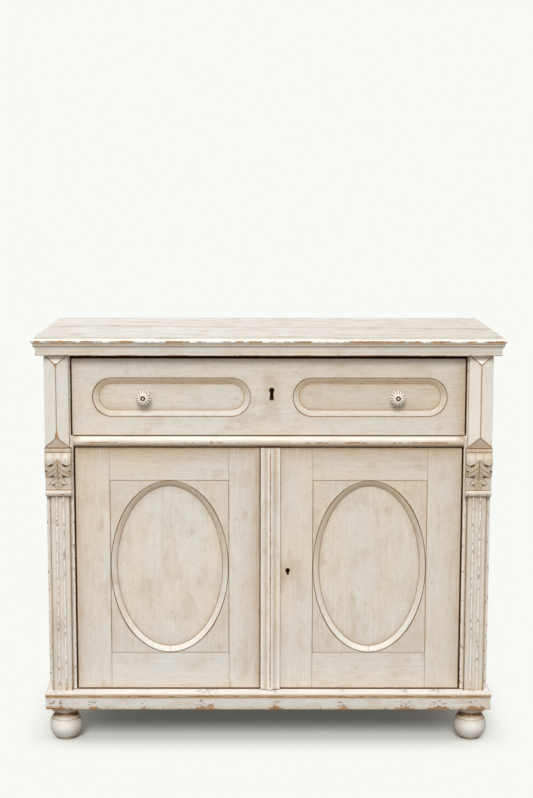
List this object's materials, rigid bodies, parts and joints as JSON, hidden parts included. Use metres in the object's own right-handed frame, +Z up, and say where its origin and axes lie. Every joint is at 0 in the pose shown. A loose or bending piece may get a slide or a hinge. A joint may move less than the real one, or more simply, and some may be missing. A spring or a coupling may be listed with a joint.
{
  "type": "low two-door cupboard",
  "caption": "Low painted pine cupboard with a drawer over oval-panelled doors, fluted pilasters with leaf corbels and turned bun feet.",
  "frame": {"origin": "on the floor, under the middle of the top", "axes": "+X to the right seen from the front, +Y from the front to the back, +Z up"},
  "size_m": [1.12, 0.54, 0.9935],
  "materials": {
    "painted_pine": "worn cream paint",
    "bare_pine": "planed, unpainted",
    "glazed_knob": "glossy glaze",
    "iron": "dark, worn"
  },
  "bodies": {
    "carcass": {"side_left": "painted_pine", "side_right": "painted_pine", "back_panel": "painted_pine", "bottom_board": "bare_pine", "shelf": "bare_pine", "top_board_front": "painted_pine", "top_board_back": "painted_pine", "cornice_front": "painted_pine", "cornice_left": "painted_pine", "cornice_right": "painted_pine", "top_rail": "bare_pine", "drawer_rail": "painted_pine", "drawer_runner_left": "bare_pine", "drawer_runner_right": "bare_pine", "stile_left": "painted_pine", "stile_right": "painted_pine", "diamond_block_left": "painted_pine", "diamond_block_right": "painted_pine", "corbel_left": "painted_pine", "corbel_right": "painted_pine", "fluted_pilaster_left": "painted_pine", "fluted_pilaster_right": "painted_pine", "plinth_front": "painted_pine", "plinth_left": "painted_pine", "plinth_right": "painted_pine", "foot_front_left": "painted_pine", "foot_front_right": "painted_pine", "foot_back_left": "painted_pine", "foot_back_right": "painted_pine", "pivot_pin_lower_left": "iron", "pivot_pin_lower_right": "iron", "pivot_pin_upper_left": "iron", "pivot_pin_upper_right": "iron"},
    "left_door": {"left_door_hinge_stile": "painted_pine", "left_door_meeting_stile": "painted_pine", "left_door_lower_rail": "painted_pine", "left_door_upper_rail": "painted_pine", "left_door_spandrels": "painted_pine", "left_door_oval_moulding": "painted_pine", "left_door_panel": "painted_pine"},
    "right_door": {"right_door_hinge_stile": "painted_pine", "right_door_meeting_stile": "painted_pine", "right_door_lower_rail": "painted_pine", "right_door_upper_rail": "painted_pine", "right_door_spandrels": "painted_pine", "right_door_oval_moulding": "painted_pine", "right_door_panel": "painted_pine", "right_door_cover_strip": "painted_pine", "right_door_lock_case": "iron"},
    "drawer": {"drawer_front": "painted_pine", "drawer_side_left": "bare_pine", "drawer_side_right": "bare_pine", "drawer_back": "bare_pine", "drawer_bottom": "bare_pine", "drawer_knob_left": "glazed_knob", "drawer_knob_right": "glazed_knob", "drawer_lock_case": "iron"},
    "edge_bolt": {"left_door_edge_bolt": "iron"},
    "door_bolt": {"right_door_lock_bolt": "iron"},
    "drawer_bolt": {"drawer_lock_bolt": "iron"}
  },
  "joints": [
    {"name": "left_door_hinge", "type": "hinge", "parent": "carcass", "child": "left_door", "pos_m": [-0.4535, -0.221, 0.133], "axis": [0, 0, -1], "range_deg": [0, 100]},
    {"name": "right_door_hinge", "type": "hinge", "parent": "carcass", "child": "right_door", "pos_m": [0.4535, -0.221, 0.133], "axis": [0, 0, 1], "range_deg": [0, 100]},
    {"name": "drawer_slide", "type": "slide", "parent": "carcass", "child": "drawer", "axis": [0, -1, 0], "range_m": [0, 0.36]},
    {"name": "edge_bolt_slide", "type": "slide", "parent": "left_door", "child": "edge_bolt", "axis": [0, 0, 1], "range_m": [0, 0.014]},
    {"name": "door_bolt_slide", "type": "slide", "parent": "right_door", "child": "door_bolt", "axis": [-1, 0, 0], "range_m": [0, 0.0135]},
    {"name": "drawer_bolt_slide", "type": "slide", "parent": "drawer", "child": "drawer_bolt", "axis": [0, 0, 1], "range_m": [0, 0.0135]}
  ]
}
